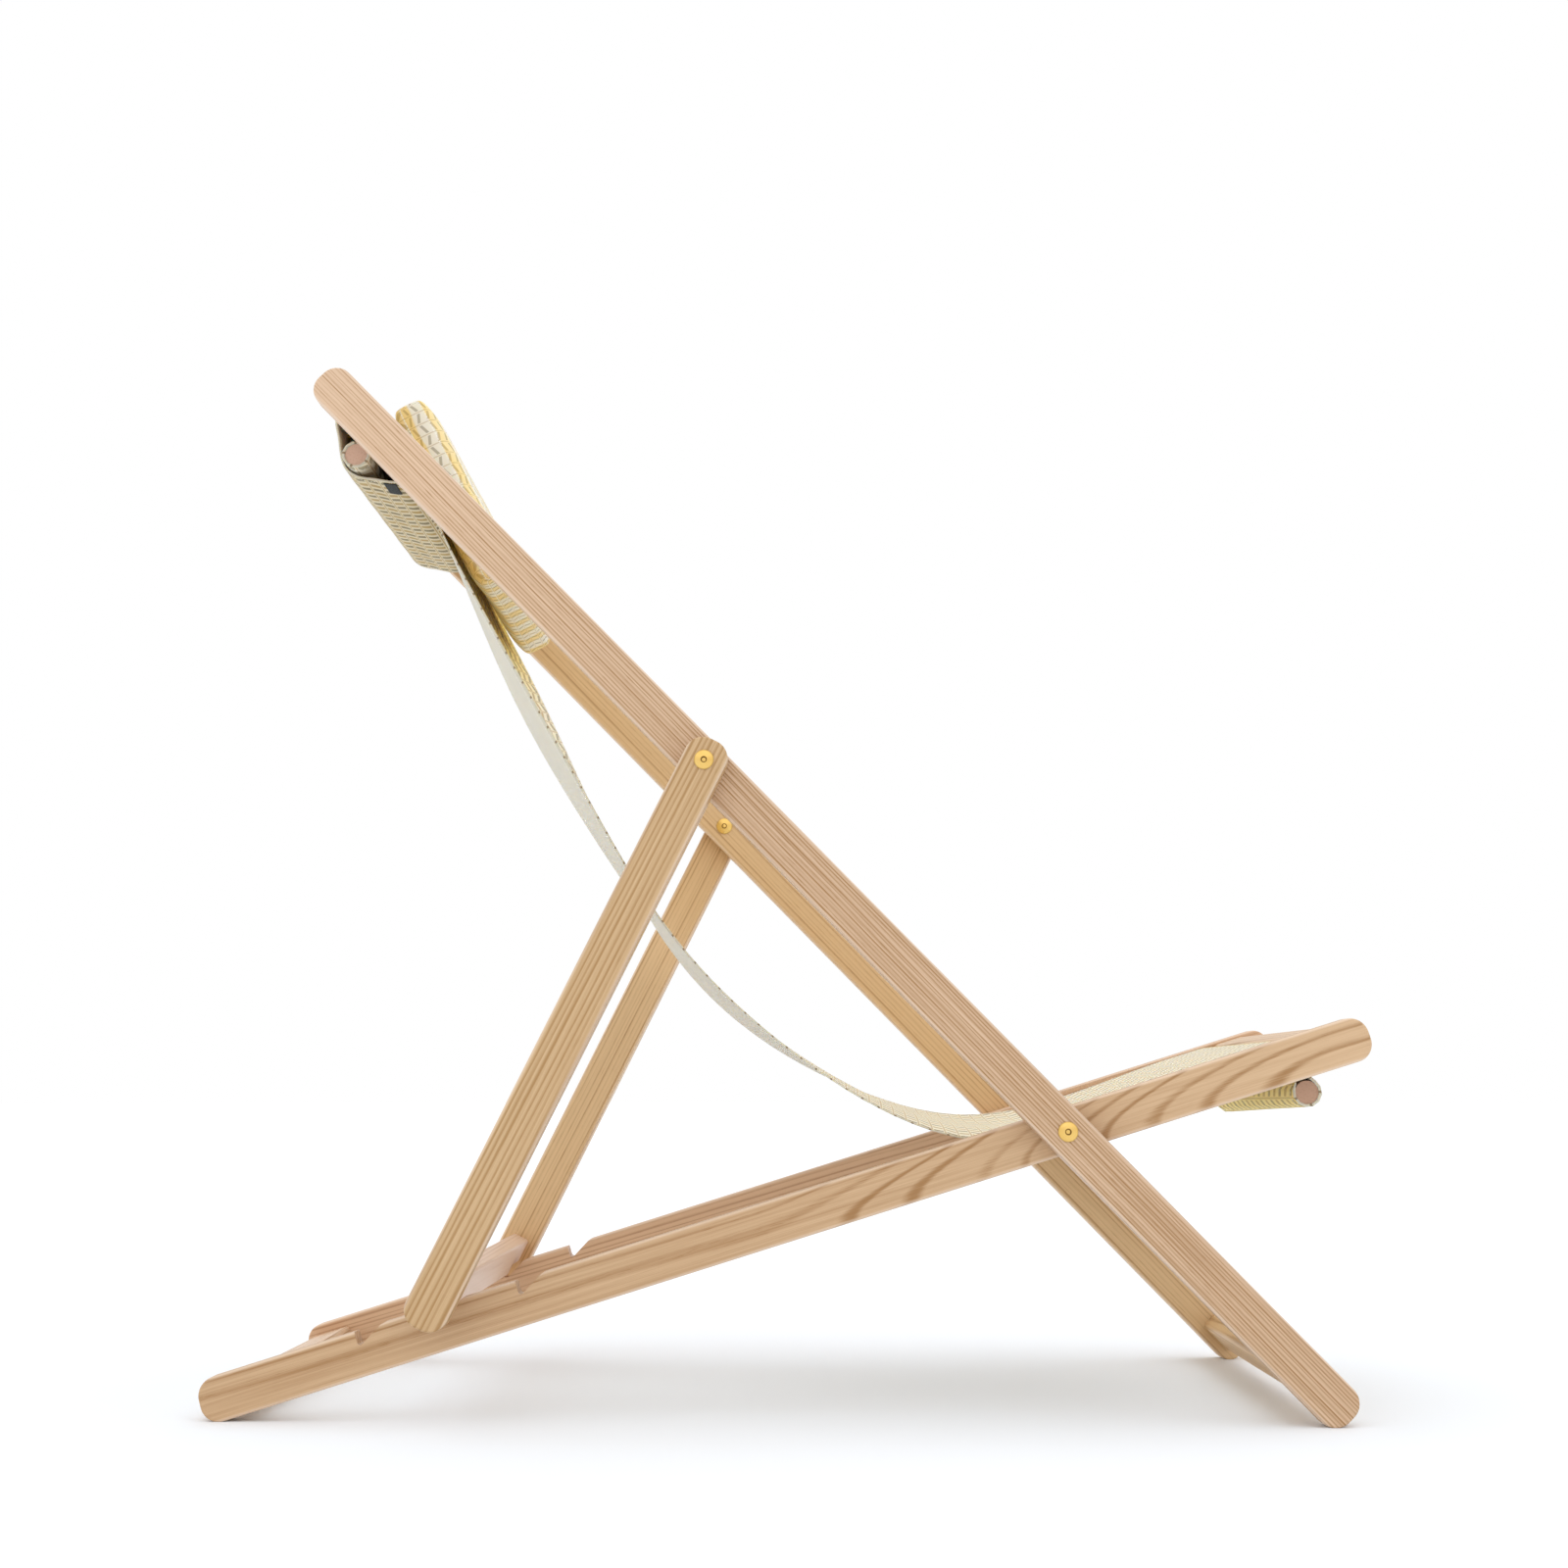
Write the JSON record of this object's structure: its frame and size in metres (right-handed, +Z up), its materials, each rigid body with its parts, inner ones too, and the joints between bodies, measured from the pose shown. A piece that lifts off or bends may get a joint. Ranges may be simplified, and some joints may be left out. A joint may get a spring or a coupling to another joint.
{
  "type": "folding deck chair",
  "caption": "Folding wooden deck chair: crossed seat and back frames, a strut frame that drops into notches, a hung fabric sling and a padded headrest.",
  "frame": {"origin": "on the floor, under the middle of the overall length and width", "axes": "+X towards the sitter's feet, +Y to the sitter's left, +Z up"},
  "size_m": [1.1852, 0.59, 1.0871],
  "materials": {
    "ash": "satin oil on straight-grained ash",
    "beech": "bare turned wood",
    "brass": "polished",
    "nylon": "matt",
    "canvas": "woven, printed face and plain reverse"
  },
  "bodies": {
    "seat_frame": {"seat_rail_right": "ash", "seat_rail_left": "ash", "seat_rear_crossbar": "ash", "seat_sling_crossbar": "ash", "seat_front_crossbar": "ash", "seat_dowels": "beech", "front_sling_rod": "beech", "back_pivot_bolts": "brass", "back_pivot_nuts": "brass", "back_pivot_washers": "nylon", "sling": "canvas"},
    "back_frame": {"back_rail_right": "ash", "back_rail_left": "ash", "back_top_crossbar": "ash", "back_sling_crossbar": "ash", "back_foot_crossbar": "ash", "back_dowels": "beech", "top_sling_rod": "beech", "strut_pivot_bolts": "brass", "strut_pivot_nuts": "brass", "strut_pivot_washers": "nylon", "head_pillow": "canvas", "head_wrap": "canvas"},
    "strut_frame": {"strut_right": "ash", "strut_left": "ash", "strut_crossbar": "ash", "strut_dowels": "beech"}
  },
  "joints": [
    {"name": "back_fold", "type": "hinge", "parent": "seat_frame", "child": "back_frame", "pos_m": [0.27791, 0, 0.28581], "axis": [0, -1, 0], "range_deg": [0, 57], "deforming": ["sling"]},
    {"name": "strut_swing", "type": "hinge", "parent": "back_frame", "child": "strut_frame", "pos_m": [-0.08782, 0, 0.65967], "axis": [0, 1, 0], "range_deg": [0, 105.5]}
  ],
  "couplings": [
    {"joint": "strut_swing", "follows": "back_fold", "ratio": 1.85}
  ]
}
